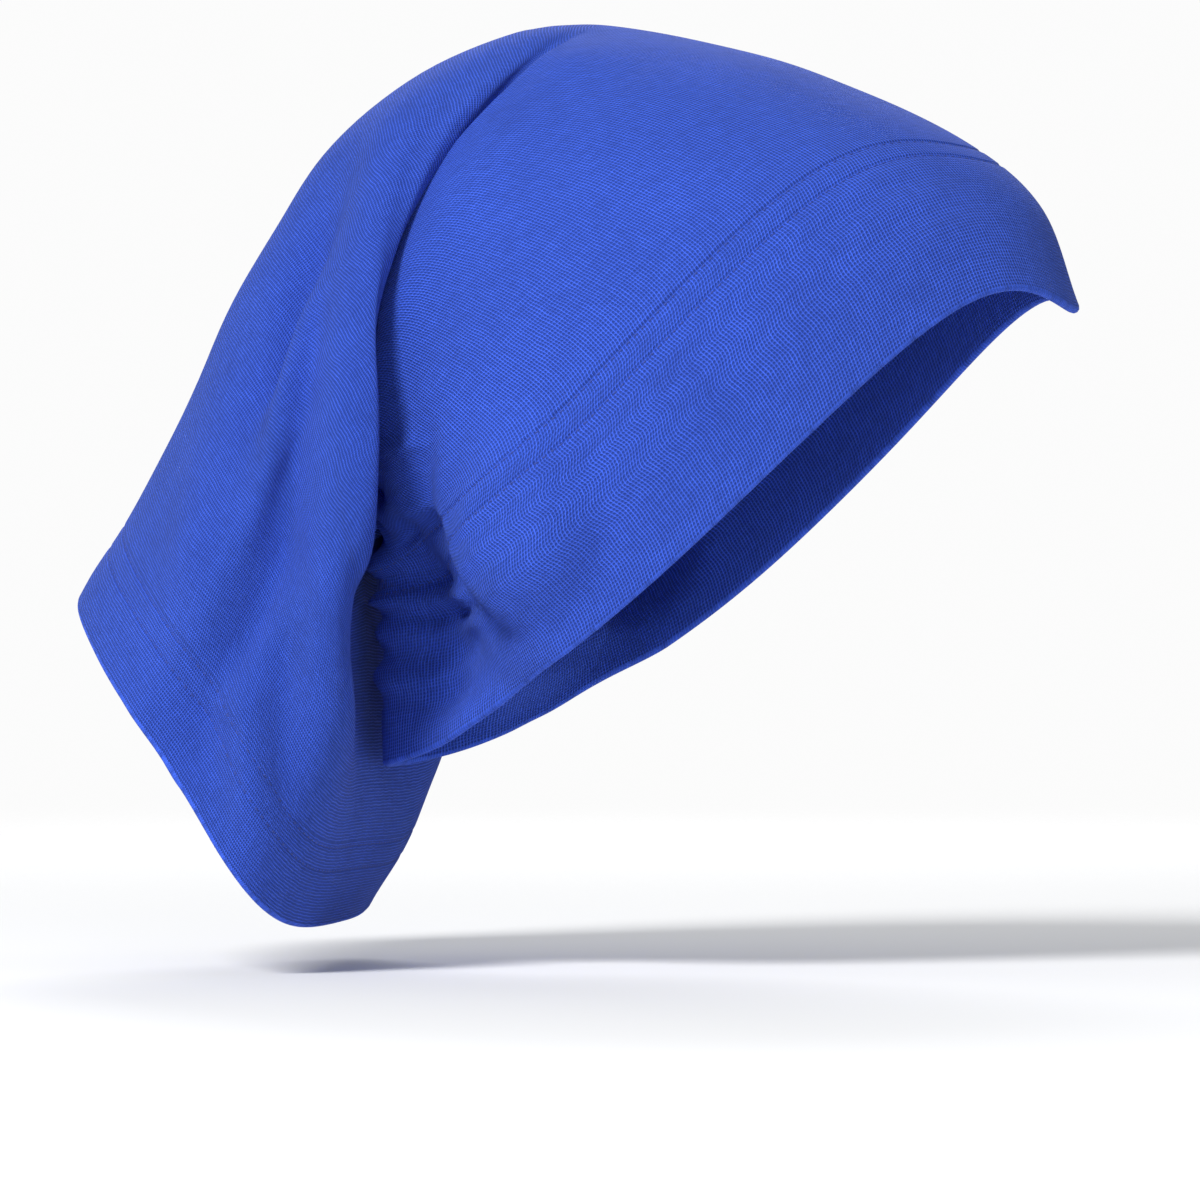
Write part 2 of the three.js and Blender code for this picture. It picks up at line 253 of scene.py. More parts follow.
# %% Narrow folds, as (spread, height, line), the line in mm back and up
RIGHT_LINES = {
    "upper_valley": (4.6, -6.0, [(63, -38), (71, -55), (78, -74), (81, -87), (83, -100), (84, -122)]),
    "upper_ridge": (3.8, 2.0, [(66, -58), (71, -79), (74, -98), (76, -118), (80, -139)]),
    "middle_valley": (4.6, -5.4, [(74, -94), (73, -113), (74, -124), (75, -140), (78, -151), (84, -162),
                                  (91, -176), (96, -187)]),
    "rear_ridge": (8.0, 2.2, [(91, -98), (94, -118), (95, -139), (93, -157)]),
    "hem_hollow": (9.0, -2.4, [(89, -173), (94, -185), (96, -195)]),
    "lower_ridge": (5.5, 2.6, [(88, -160), (82, -176), (81, -191), (80, -202), (75, -217)]),
    "lower_valley": (5.0, -4.2, [(69, -147), (71, -162), (71, -187), (70, -214)]),
    "front_roll": (7.0, 4.0, [(57, -53), (57, -79), (56, -110), (56, -150), (57, -188), (58, -225), (58, -300)]),
    "front_valley": (4.6, -4.2, [(64, -58), (67, -82), (68, -108), (68, -134), (70, -160)]),
}
LEFT_LINES = {
    "upper_valley": (5.0, -2.6, [(62, -34), (72, -56), (80, -80), (82, -104), (80, -126)]),
    "long_valley": (5.0, -3.0, [(92, -88), (88, -112), (84, -136), (86, -160), (94, -180)]),
    "upper_ridge": (4.0, 1.4, [(70, -70), (74, -96), (73, -124), (70, -150)]),
    "lower_ridge": (6.0, 1.8, [(100, -140), (96, -160), (84, -186), (78, -212)]),
    "lower_valley": (5.5, -2.2, [(66, -130), (68, -158), (72, -186), (70, -212)]),
    "front_roll": (5.5, 1.6, [(57, -60), (59, -96), (60, -140), (62, -186), (62, -215)]),
}
HEAD_LINES = {
    "ear_rim": (4.5, 1.7, [(25, -96), (31, -105), (33, -116), (35, -125), (31, -136), (27, -144), (20, -151),
                           (9, -157), (-2, -158)]),
    "ear_hollow": (6.0, -3.6, [(30, -94), (38, -105), (41, -118), (42, -131), (38, -144), (30, -153),
                               (17, -161), (2, -164)]),
    "nape_hollow": (17.0, -8.5, [(54, -112), (53, -135), (51, -155), (43, -172), (24, -181), (4, -183)]),
    "nape_ridge": (5.0, 1.0, [(45, -164), (31, -165), (12, -167), (-4, -164)]),
    "pinch_ridge": (2.6, 1.8, [(56, -109), (46, -110), (37, -107)]),
    "second_ridge": (2.8, 1.2, [(55, -129), (45, -127), (39, -124)]),
    "third_ridge": (3.0, 1.2, [(53, -147), (44, -147), (37, -150)]),
}


def line_heights(table, y, z):
    total = np.zeros_like(y)
    for spread, height, line in table.values():
        line = np.array(line, float)
        steps = np.diff(line, axis=0)
        reached = np.concatenate([[0], np.cumsum(np.hypot(steps[:, 0], steps[:, 1]))])
        nearest, along = np.full_like(y, 1e6), np.zeros_like(y)
        for k, step in enumerate(steps):
            share = np.clip(((y - line[k, 0]) * step[0] + (z - line[k, 1]) * step[1]) / (step @ step), 0, 1)
            gap = np.hypot(y - line[k, 0] - share * step[0], z - line[k, 1] - share * step[1])
            along = np.where(gap < nearest, reached[k] + share * np.hypot(*step), along)
            nearest = np.minimum(gap, nearest)
        faded = smooth(0, 0.3 * reached[-1], along) * smooth(reached[-1], 0.65 * reached[-1], along)
        total += height * faded * np.exp(-((nearest / spread) ** 2))
    return total


# Below and behind the ear the cloth goes in to the neck: a slope that starts at a line across the side of the cap.
NAPE_BACK, NAPE_DOWN, NAPE_FROM, NAPE_TO, NAPE_RECESS = 0.6, 0.8, 128.0, 156.0, 9.0


def narrow_folds(points, place, from_face):
    x, y, z = points[..., 0], points[..., 1], points[..., 2]
    flank = smooth(0.12, 0.5, np.abs(x) / (HEAD_WIDTH / 2))
    fall = np.where(x < 0, line_heights(RIGHT_LINES, y, z), line_heights(LEFT_LINES, y, z))
    outside = smooth(GATHER + 0.9, GATHER + 1.6, place)
    below_ear = smooth(NAPE_FROM, NAPE_TO, NAPE_BACK * y - NAPE_DOWN * z)
    head = line_heights(HEAD_LINES, y, z) * smooth(0, 16, from_face) - NAPE_RECESS * below_ear
    head = head * smooth(GATHER, GATHER - 0.4, place)
    return flank * np.where(place <= GATHER, head, fall * outside)


# %% [markdown]
# Above the nape the loose half lies over the fitted half like the flap of an envelope. The fitted cloth stays
# full right up to the fold and only then tucks under it, and the fold has a small lip, so the crease shows as a
# thin dark line.

# %% The tuck under the fold
TUCK_FULL, TUCK_LIP, TUCK_CROWN = 7.0, 1.6, 2.6
print("the fold's lip stands", TUCK_LIP, "mm off the fitted half")


def tuck(points, place, angle):
    z, cosine = points[..., 2], np.cos(angle)[None]
    above_nape = smooth(-122, -96, z) * smooth(0.97, 0.75, cosine)
    full = TUCK_FULL * smooth(GATHER - 1.0, GATHER - 0.35, place) * smooth(GATHER, GATHER - 0.16, place)
    lip = TUCK_LIP * np.exp(-(((place - GATHER - 1.2) / 0.35) ** 2))
    crown = TUCK_CROWN * np.exp(-(((place - GATHER - 2.45) / 0.4) ** 2)) * smooth(0.3, 0.8, cosine)
    return above_nape * (full * (0.45 + 0.55 * smooth(-15, -65, z)) + lip) + crown


# %% [markdown]
# The elastic draws the underside in, so the spare cloth stands up in small pleats about ten millimetres apart.
# Real pleats aren't alike, so their spacing and height wander a little.

# %% Pleats drawn in by the elastic
FINE_PLEATS, FINE_PLEAT_HEIGHT, PLEATS_FROM = 37, 2.0, 1.75
print("pleats begin", round(math.degrees(PLEATS_FROM)), "degrees from the crown")


def pleats(angle, place):
    drawn = smooth(math.cos(PLEATS_FROM) + 0.12, math.cos(PLEATS_FROM) - 0.3, np.cos(angle))[None]
    reach = np.where(place < GATHER, 0.75, 0.8) * (1 + 0.25 * np.sin(11 * angle + 0.4))[None]
    fade = smooth(reach, 0, np.abs(place - GATHER))
    turn = FINE_PLEATS * (angle - np.pi) + 0.9 * np.sin(5 * angle + 0.7) + 0.5 * np.sin(13 * angle)
    uneven = 1 + 0.3 * np.sin(7 * angle + 1.1)
    wave = (1 - 2 * (0.5 - 0.5 * np.cos(turn)) ** 1.7) * uneven
    return FINE_PLEAT_HEIGHT * drawn * fade * wave[None]


# %% Wrinkles stacked up the nape
WRINKLE_SPACING, WRINKLE_HEIGHT = 10.5, 1.6


def nape_wrinkles(points, place, angle):
    z, cosine = points[..., 2], np.cos(angle)[None]
    stacked = smooth(-0.58, -0.92, cosine) * smooth(-184, -164, z) * smooth(-104, -114, z)
    wave = np.cos(z * 2 * np.pi / WRINKLE_SPACING + 1.1 * np.sin(4 * angle)[None] + 1.1 * np.sin(z * 0.17 + 0.5))
    unlike = WRINKLE_HEIGHT * (1 + 0.45 * np.sin(z * 0.29 + 2.0 * angle[None]))
    return unlike * stacked * wave * smooth(GATHER, GATHER - 0.15, place)


# %% Stitch grooves and soft unevenness
FACE_ROWS = (42.8, 49.2)
HEM_ROWS = (15.0, 21.4)
GROOVE_DEPTH, GROOVE_WIDTH = 0.42, 0.55
UNEVEN_FITTED, UNEVEN_LOOSE, HEM_WAVE = 0.1, 0.3, 0.8
print("needle rows", round(FACE_ROWS[1] - FACE_ROWS[0], 1), "mm apart")


def grooves(from_face, from_hem):
    total = np.zeros_like(from_face)
    for row in FACE_ROWS:
        total -= GROOVE_DEPTH * np.exp(-(((from_face - row) / GROOVE_WIDTH) ** 2))
    for row in HEM_ROWS:
        total -= GROOVE_DEPTH * np.exp(-(((from_hem - row) / GROOVE_WIDTH) ** 2))
    return total


def unevenness(points, place):
    """A few fixed waves of unlike lengths, larger where the cloth is loose."""
    x, y, z = (points[..., k] for k in range(3))
    loose = smooth(GATHER + 0.3, GATHER + 2.5, place)
    wave = (np.sin(0.105 * y + 0.055 * z + 0.021 * x + 0.6) + np.sin(0.047 * y - 0.092 * z + 1.9)
            + np.sin(0.19 * y + 0.07 * z - 0.05 * x + 4.1) * 0.5 + np.sin(0.06 * x + 0.16 * z + 2.2) * 0.5)
    hem = HEM_WAVE * np.sin(0.13 * y - 0.08 * z + 0.03 * x) * smooth(HEM_EDGE - 1.5, HEM_EDGE, place)
    return wave * (UNEVEN_FITTED + UNEVEN_LOOSE * loose) + hem


# %% The finished cloth at any place and angle
STEP, TURN_STEP = 0.02, 0.01


def normals_of(place, angle):
    ahead, behind = np.clip(place - STEP, 0, HEM_EDGE), np.clip(place + STEP, 0, HEM_EDGE)
    along = bare(behind, angle) - bare(ahead, angle)
    around = bare(place, angle + TURN_STEP) - bare(place, angle - TURN_STEP)
    normal = np.cross(around, along)
    return normal / np.linalg.norm(normal, axis=-1, keepdims=True)


def cloth(place, angle, lengths):
    points, normal = bare(place, angle), normals_of(place, angle)
    from_face = length_at(lengths, place)
    from_hem = lengths[-1][None] - from_face
    height = (broad_relief(points, place) + narrow_folds(points, place, from_face) + pleats(angle, place)
              + nape_wrinkles(points, place, angle) + tuck(points, place, angle)
              + grooves(from_face, from_hem) + unevenness(points, place))
    return points + normal * height[..., None], normal, from_face, from_hem


# %% [markdown]
# ## Angles and rows
# The mesh is finest where the cloth is pulled tight or turns sharply: towards the nape and at the gather. All the
# pieces share the same angles, so that they meet point for point.

# %% Shared angles
FRONT_STEPS, BACK_STEPS = 50, 94
side = np.concatenate([np.linspace(0, np.pi / 2, FRONT_STEPS, endpoint=False),
                       np.linspace(np.pi / 2, np.pi, BACK_STEPS, endpoint=False)])
ANGLES = np.concatenate([side, [np.pi], 2 * np.pi - side[1:][::-1]])
LENGTHS = walked(ANGLES)
NAPE = len(side)
band_ring = bare(np.full((1, len(ANGLES)), 2.0), ANGLES)[0]
TUBE_ROUND = 550.0
print(len(ANGLES), "angles, the tube is",
      round(np.linalg.norm(np.roll(band_ring, -1, 0) - band_ring, axis=1).sum()), "mm round at the face band")


def evenly_round(rings):
    """Millimetres of cloth round each ring from the crown, the same in all for a full turn."""
    steps = np.linalg.norm(np.roll(rings, -1, 1) - rings, axis=-1)
    walked_round = np.concatenate([np.zeros((len(rings), 1)), np.cumsum(steps, 1)], 1)
    return walked_round / walked_round[:, -1:] * TUBE_ROUND


def rows_between(start, end, count, towards_gather=0):
    """Rows of places from one border to another, crowded at the start or the end if asked."""
    share = np.linspace(0, 1, count)
    if towards_gather < 0:
        share = share**1.6
    if towards_gather > 0:
        share = 1 - (1 - share) ** 1.6
    return start[None] + (end - start)[None] * share[:, None]


def rows_at(distances, from_face):
    """Rows of places at set distances along the cloth from its front or back edge."""
    return np.array([place_at(LENGTHS, d if from_face else LENGTHS[-1] - d) for d in distances])


FINE_STEPS = (-1.6, -1.1, -0.7, -0.35, 0, 0.35, 0.7, 1.1, 1.6)


def with_fine_rows(depth, spacing, stitch_rows):
    """Distances from 0 to depth, close together at each stitch row so that its groove is crisp."""
    fine = [row + step for row in stitch_rows for step in FINE_STEPS]
    even = [d for d in np.linspace(0, depth, round(depth / spacing)) if min(abs(d - f) for f in fine) > 0.5]
    last = [depth] if depth not in even else []
    return np.array(sorted([d for d in fine if d < depth - 0.2] + even + last))


# %% [markdown]
# ## Making a piece of cloth
# Each piece is a closed wall: its outer face, a rim, its inner face and another rim. The outer edge of a hem is a
# fold, so its rim is round; where two pieces were one cloth the rims are flat and meet, and a sharp edge there
# keeps the shading of the outer faces clean. The map named Knit holds the cloth's own lengths, round and along the
# tube. Every ring holds the same number of wales, as a real tube does, so the knit opens where the cloth is
# stretched and closes where it is drawn in. The lengths along the tube are measured on the finished surface, from
# the face edge to the crease and from the back hem to the crease. The map's seam is under the nape.

# %% Helpers for meshes
def add_mesh(name, vertices, faces, material, body="root"):
    mesh = bpy.data.meshes.new(name)
    mesh.from_pydata((np.asarray(vertices) / 1000).tolist(), [], faces)
    mesh.polygons.foreach_set("use_smooth", [True] * len(mesh.polygons))
    mesh.materials.append(material)
    mesh.update()
    piece = bpy.data.objects.new(name, mesh)
    bpy.context.scene.collection.objects.link(piece)
    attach(piece, body)
    print(name, "has", sum(len(f) - 2 for f in faces), "triangles")
    return piece


def surface_normals(points):
    around = np.roll(points, -1, 1) - np.roll(points, 1, 1)
    along = np.gradient(points, axis=0)
    normal = np.cross(around, along)
    return normal / np.linalg.norm(normal, axis=-1, keepdims=True)


def unit(vectors):
    return vectors / np.maximum(np.linalg.norm(vectors, axis=-1, keepdims=True), 1e-9)


# %% A closed wall of cloth
ROUND_STEPS = 4


def cloth_wall(name, place, thickness, material, round_start=False, round_end=False):
    outer, _, from_face, from_hem = cloth(place, ANGLES, LENGTHS)
    normal = surface_normals(outer)
    inner = outer - normal * thickness
    steps = np.linalg.norm(np.diff(outer, axis=0), axis=-1)
    fitted = from_face[0] + np.concatenate([np.zeros((1, len(ANGLES))), np.cumsum(steps, 0)])
    loose = from_hem[-1] + np.concatenate([np.cumsum(steps[::-1], 0)[::-1], np.zeros((1, len(ANGLES)))])

    def rim(row, other):
        """Points round the fold at one end, from the outer face to the inner face."""
        centre = (outer[row] + inner[row]) / 2
        away = unit(outer[row] - outer[other])
        turns = np.linspace(0, np.pi, ROUND_STEPS + 2)[1:-1]
        return [centre + (normal[row] * math.cos(t) + away * math.sin(t)) * thickness / 2 for t in turns]

    end_rim = rim(-1, -2) if round_end else []
    start_rim = rim(0, 1)[::-1] if round_start else []
    rings = [*outer, *end_rim, *inner[::-1], *start_rim]
    turns_round = evenly_round(outer)
    rounds = [*turns_round, *[turns_round[-1]] * len(end_rim), *turns_round[::-1],
              *[turns_round[0]] * len(start_rim)]
    heights = [[*h, *[h[-1]] * len(end_rim), *h[::-1], *[h[0]] * len(start_rim)] for h in (fitted, -loose)]
    hangs = [*(place[:, 0] > GATHER)]
    hangs = [*hangs, *[hangs[-1]] * len(end_rim), *hangs[::-1], *[hangs[0]] * len(start_rim)]
    count = len(ANGLES)
    faces, maps = [], []
    for k in range(len(rings)):
        n = (k + 1) % len(rings)
        run = heights[1] if hangs[k] or hangs[n] else heights[0]
        for i in range(count):
            j = (i + 1) % count
            faces.append((k * count + i, k * count + j, n * count + j, n * count + i))
            back = TUBE_ROUND if i >= NAPE else 0
            maps += [(rounds[k][i] - back, run[k][i]), (rounds[k][i + 1] - back, run[k][j]),
                     (rounds[n][i + 1] - back, run[n][j]), (rounds[n][i] - back, run[n][i])]
    piece = add_mesh(name, np.concatenate(rings), faces, material)
    layer = piece.data.uv_layers.new(name="Knit")
    layer.data.foreach_set("uv", (np.array(maps) / 1000).ravel())
    sharp = set()
    if not round_end:
        sharp |= {len(outer) - 1, len(outer)}
    if not round_start:
        sharp |= {0, len(rings) - 1}
    mark_sharp(piece.data, sharp, count)
    return piece


def mark_sharp(mesh, rings, count):
    ends = np.empty(len(mesh.edges) * 2, int)
    mesh.edges.foreach_get("vertices", ends)
    ring = (ends // count).reshape(-1, 2)
    flags = (ring[:, 0] == ring[:, 1]) & np.isin(ring[:, 0], list(rings))
    sharp = mesh.attributes.new("sharp_edge", "BOOLEAN", "EDGE")
    sharp.data.foreach_set("value", flags)


# %% [markdown]
# ## The jersey's finish
# Jersey is a field of tiny V-shaped stitches, here about 0.85 mm apart. From arm's length they read as a fine
# grid of lighter threads with darker gaps. A node group draws the stitches as a height, from the Knit map, so the
# same pattern gives the bump and also paints the colour: painted shade in the gaps between the stitches and
# painted light on the threads. Cotton is matt with a little fuzz, which a sheen gives at grazing angles.

# %% A helper for node groups
def math_node(tree, operation, *inputs):
    node = tree.nodes.new("ShaderNodeMath")
    node.operation = operation
    for socket, value in zip(node.inputs, inputs):
        if isinstance(value, (int, float)):
            socket.default_value = value
        else:
            tree.links.new(value, socket)
    return node.outputs[0]


def new_group(name, inputs, outputs):
    group = bpy.data.node_groups.new(name, "ShaderNodeTree")
    for label, kind, value in inputs:
        socket = group.interface.new_socket(label, in_out="INPUT", socket_type=kind)
        socket.default_value = value
    for label, kind in outputs:
        group.interface.new_socket(label, in_out="OUTPUT", socket_type=kind)
    return group, group.nodes.new("NodeGroupInput"), group.nodes.new("NodeGroupOutput")


# %% Knit stitches as a node group
def make_knit():
    group, given, out = new_group(
        "knit_stitches",
        [("Wale Width", "NodeSocketFloat", 0.9), ("Course Height", "NodeSocketFloat", 0.9),
         ("Wale Strength", "NodeSocketFloat", 1.0), ("Course Strength", "NodeSocketFloat", 0.8)],
        [("Height", "NodeSocketFloat"), ("Tone", "NodeSocketFloat")],
    )
    m = lambda *a: math_node(group, *a)
    cloth_map = group.nodes.new("ShaderNodeUVMap")
    cloth_map.uv_map = "Knit"
    wander = noise_at(group, cloth_map.outputs[0], 260.0, 1.0, (1.0, 1.0, 1.0))
    split = group.nodes.new("ShaderNodeSeparateXYZ")
    group.links.new(cloth_map.outputs[0], split.inputs[0])
    drift = m("MULTIPLY", m("SUBTRACT", wander, 0.5), 0.7)
    wale = m("ADD", m("DIVIDE", m("MULTIPLY", split.outputs[0], 1000.0), given.outputs["Wale Width"]), drift)
    course = m("ADD", m("DIVIDE", m("MULTIPLY", split.outputs[1], 1000.0), given.outputs["Course Height"]), drift)
    aside = m("ABSOLUTE", m("SUBTRACT", m("FRACT", wale), 0.5))
    slanted = m("ADD", course, m("MULTIPLY", aside, 0.5))
    ribs = [m("ADD", m("MULTIPLY", m("COSINE", m("MULTIPLY", line, 2 * math.pi)), 0.5), 0.5)
            for line in (wale, slanted)]
    lines = [m("MULTIPLY", m("POWER", rib, 2.6), given.outputs[label])
             for rib, label in zip(ribs, ("Wale Strength", "Course Strength"))]
    open_part = m("MULTIPLY", m("SUBTRACT", 1.0, lines[0]), m("SUBTRACT", 1.0, lines[1]))
    group.links.new(m("SUBTRACT", 1.0, open_part), out.inputs["Height"])
    yarn = noise_at(group, cloth_map.outputs[0], 700.0, 2.0, (1.0, 0.25, 1.0))
    course_yarn = noise_at(group, cloth_map.outputs[0], 700.0, 2.0, (0.2, 1.0, 1.0))
    group.links.new(m("MULTIPLY", m("ADD", yarn, course_yarn), 0.5), out.inputs["Tone"])
    return group


def noise_at(tree, vector, scale, detail, stretch):
    stretched = tree.nodes.new("ShaderNodeMapping")
    stretched.inputs["Scale"].default_value = stretch
    noise = tree.nodes.new("ShaderNodeTexNoise")
    noise.inputs["Scale"].default_value = scale
    noise.inputs["Detail"].default_value = detail
    tree.links.new(vector, stretched.inputs["Vector"])
    tree.links.new(stretched.outputs[0], noise.inputs["Vector"])
    return noise.outputs[0]


KNIT = make_knit()
print("knit group has", len(KNIT.nodes), "nodes")

# %% [markdown]
# The dye isn't perfectly even on a stretched jersey. A second small group gives slow patches of a slightly
# lighter or darker tone, and every blue material takes it.

# %% Uneven dye as a node group
def make_dye():
    group, given, out = new_group("uneven_dye", [("Patch Size", "NodeSocketFloat", 0.03)],
                                  [("Patch", "NodeSocketFloat")])
    place = group.nodes.new("ShaderNodeTexCoord")
    noise = group.nodes.new("ShaderNodeTexNoise")
    noise.inputs["Detail"].default_value = 3.0
    group.links.new(place.outputs["Object"], noise.inputs["Vector"])
    group.links.new(math_node(group, "DIVIDE", 1.0, given.outputs["Patch Size"]), noise.inputs["Scale"])
    group.links.new(noise.outputs[0], out.inputs["Patch"])
    return group


DYE = make_dye()


# %% The blue of the cloth
ROYAL_BLUE = (0.0285, 0.075, 0.455)


def shade(factor):
    return tuple(c * factor for c in ROYAL_BLUE) + (1.0,)


def placed_group(tree, group, **values):
    node = tree.nodes.new("ShaderNodeGroup")
    node.node_tree = group
    for label, value in values.items():
        node.inputs[label.replace("_", " ")].default_value = value
    return node


def mixed(tree, factor, low, high):
    node = tree.nodes.new("ShaderNodeMix")
    node.data_type = "RGBA"
    tree.links.new(factor, node.inputs["Factor"])
    for label, value in (("A", low), ("B", high)):
        socket = [s for s in node.inputs if s.name == label and s.type == "RGBA"][0]
        if isinstance(value, tuple):
            socket.default_value = value
        else:
            tree.links.new(value, socket)
    return [s for s in node.outputs if s.type == "RGBA"][0]


def jersey_material(name, knit_values, painted_gap_shade, painted_thread_light, bump):
    material = bpy.data.materials.new(name)
    material.use_nodes = True
    tree = material.node_tree
    surface = tree.nodes["Principled BSDF"]
    knit = placed_group(tree, KNIT, **knit_values)
    dye = placed_group(tree, DYE, Patch_Size=0.02)
    # Painted light and shade: the knit height makes the threads lighter and the gaps between them darker in the
    # base colour.
    thread = mixed(tree, knit.outputs["Height"], shade(painted_gap_shade), shade(painted_thread_light))
    spread = math_node(tree, "ADD", math_node(tree, "MULTIPLY", knit.outputs["Tone"], 0.7),
                       math_node(tree, "MULTIPLY", dye.outputs["Patch"], 0.3))
    toned = math_node(tree, "MULTIPLY", math_node(tree, "SUBTRACT", spread, 0.25), 1.3)
    tree.links.new(mixed(tree, toned, thread, shade(painted_gap_shade * 0.9)), surface.inputs["Base Color"])
    rough = math_node(tree, "SUBTRACT", 0.95, math_node(tree, "MULTIPLY", knit.outputs["Height"], 0.15))
    tree.links.new(rough, surface.inputs["Roughness"])
    surface.inputs["Sheen Weight"].default_value = 0.12
    surface.inputs["Sheen Roughness"].default_value = 0.45
    surface.inputs["Sheen Tint"].default_value = (0.35, 0.5, 1.0, 1.0)
    surface.inputs["Specular IOR Level"].default_value = 0.2
    raised = tree.nodes.new("ShaderNodeBump")
    raised.inputs["Strength"].default_value = 1.0
    raised.inputs["Distance"].default_value = bump
    tree.links.new(knit.outputs["Height"], raised.inputs["Height"])
    tree.links.new(raised.outputs[0], surface.inputs["Normal"])
    return material


STRETCHED_KNIT = dict(Wale_Width=0.92, Course_Height=0.92, Wale_Strength=1.0, Course_Strength=0.55)
SLACK_KNIT = dict(Wale_Width=0.84, Course_Height=0.84, Wale_Strength=0.6, Course_Strength=1.0)
# The two tones after the knit are the painted shade in the gaps and the painted light on the threads.
JERSEY_STRETCHED = jersey_material("jersey_stretched", STRETCHED_KNIT, 0.6, 2.4, 0.00028)
JERSEY_SLACK = jersey_material("jersey_slack", SLACK_KNIT, 0.58, 2.3, 0.00028)

# %% [markdown]
# ## The face band, the body and the back hem
# The tube's outer face is one cloth. The band is 50 mm of it folded inside and stitched down, so it is made twice
# as thick with a round fold at the face. The back hem is the same, only narrower.

# %% Borders along the cloth
band_rows = rows_at(with_fine_rows(FACE_BAND, 1.7, FACE_ROWS), True)
hem_rows = rows_at(with_fine_rows(BACK_HEM, 1.6, HEM_ROWS)[::-1], False)
gather = np.full(len(ANGLES), float(GATHER))
print(len(band_rows), "rows in the band and", len(hem_rows), "in the hem")

# %% Face band
band = cloth_wall("cloth_face_band", band_rows, 2 * JERSEY, JERSEY_STRETCHED, round_start=True)
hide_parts("face_band")

# %% Body of the tube
first_rows = rows_at([FACE_BAND, FACE_BAND + 0.4, FACE_BAND + 0.9, FACE_BAND + 1.7], True)
last_rows = rows_at([BACK_HEM + 1.5, BACK_HEM + 0.9, BACK_HEM + 0.4, BACK_HEM], False)
front_rows = np.concatenate([first_rows[:-1], rows_between(first_rows[-1], gather, 64, towards_gather=1)])
fall_rows = np.concatenate([rows_between(gather, last_rows[0], 86, towards_gather=-1), last_rows[1:]])
body_rows = np.concatenate([front_rows, fall_rows[1:]])
body = cloth_wall("cloth_tube_body", body_rows, JERSEY, JERSEY_STRETCHED)
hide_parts("tube_body")

# %% Back hem
hem = cloth_wall("cloth_back_hem", hem_rows, 2 * JERSEY, JERSEY_SLACK, round_end=True)
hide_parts("back_hem")

# %% [markdown]
# The fall is slack and the crown is stretched, so the fall's stitches are smaller. The body gets both materials,
# split at the crease, where the change can't be seen.

# %% Slack knit behind the crease
body.data.materials.append(JERSEY_SLACK)
split_ring = len(front_rows) - 1
ring_count = 2 * len(body_rows)
slack = [split_ring <= k < ring_count - 1 - split_ring for k in range(ring_count)]
body.data.polygons.foreach_set("material_index", np.repeat(np.array(slack, int), len(ANGLES)))
print("rings in the slack knit:", sum(slack))

# %% [markdown]
# ## Twin rows of coverstitch
# A coverstitch machine sews with two needles about 6.4 mm apart. Outside it leaves two rows of short straight
# stitches; inside, a looper thread runs to and fro between them. The stitches are real little bars of thread that
# dip into the cloth at both ends, all in one mesh, because a bump would vanish in a close view.

# %% Lines along the hems
LINE_STEP = 0.03


def cloth_line(distance, from_face):
    """A closed line on the outer face at a set distance from an edge, with its normals."""
    place = place_at(LENGTHS, distance if from_face else LENGTHS[-1] - distance)[None]
    near = (place - LINE_STEP, place, np.minimum(place + LINE_STEP, HEM_EDGE))
    ahead, points, behind = (cloth(row, ANGLES, LENGTHS)[0][0] for row in near)
    around = np.roll(points, -1, 0) - np.roll(points, 1, 0)
    return points, unit(np.cross(around, behind - ahead))


def resample(points, normals, spacing):
    closed = np.concatenate([points, points[:1]])
    turned = np.concatenate([normals, normals[:1]])
    run = np.concatenate([[0], np.cumsum(np.linalg.norm(np.diff(closed, axis=0), axis=1))])
    count = int(round(run[-1] / spacing))
    at = np.linspace(0, run[-1], count, endpoint=False)
    pick = lambda values: np.stack([np.interp(at, run, values[:, k]) for k in range(3)], -1)
    return pick(closed), unit(pick(turned))


# %% Thread sweeping
SIDES = 6


def sweep(paths, radii, normals, closed=False):
    """Tubes along paths (strands, steps, 3) with radii (steps,), returned as vertices and faces."""
    strands, steps, _ = paths.shape
    ahead = np.roll(paths, -1, 1) - np.roll(paths, 1, 1) if closed else np.gradient(paths, axis=1)
    along = unit(ahead)
    across = unit(np.cross(along, normals))
    up = np.cross(across, along)
    turn = (np.arange(SIDES) / SIDES * 2 * np.pi)[None, None, :, None]
    ring = across[:, :, None] * np.cos(turn) + up[:, :, None] * np.sin(turn)
    vertices = (paths[:, :, None] + ring * radii[None, :, None, None]).reshape(-1, 3)
    faces = []
    for s in range(strands):
        base = s * steps * SIDES
        for k in range(steps if closed else steps - 1):
            here, there = base + k * SIDES, base + (k + 1) % steps * SIDES
            for i in range(SIDES):
                j = (i + 1) % SIDES
                faces.append((here + i, there + i, there + j, here + j))
        if not closed:
            faces.append(tuple(base + i for i in range(SIDES)))
            faces.append(tuple(base + (steps - 1) * SIDES + i for i in reversed(range(SIDES))))
    return vertices, faces


# %% Thread finish
def thread_material():
    material = bpy.data.materials.new("sewing_thread")
    material.use_nodes = True
    tree = material.node_tree
    surface = tree.nodes["Principled BSDF"]
    dye = placed_group(tree, DYE, Patch_Size=0.0012)
    tree.links.new(mixed(tree, dye.outputs["Patch"], shade(0.4), shade(0.85)), surface.inputs["Base Color"])
    tree.links.new(math_node(tree, "ADD", 0.5, math_node(tree, "MULTIPLY", dye.outputs["Patch"], 0.2)),
                   surface.inputs["Roughness"])
    surface.inputs["Sheen Weight"].default_value = 0.1
    return material


THREAD = thread_material()
THREAD_RADIUS, STITCH = 0.17, 2.7
print("thread", 2 * THREAD_RADIUS, "mm thick, stitches", STITCH, "mm long")

# %% Needle rows outside
STITCH_STEPS = 6
STITCH_LIFT = np.array([-0.3, 0.02, 0.1, 0.02, -0.3])
STITCH_SWELL = np.array([0.6, 1, 1.05, 1, 0.6])


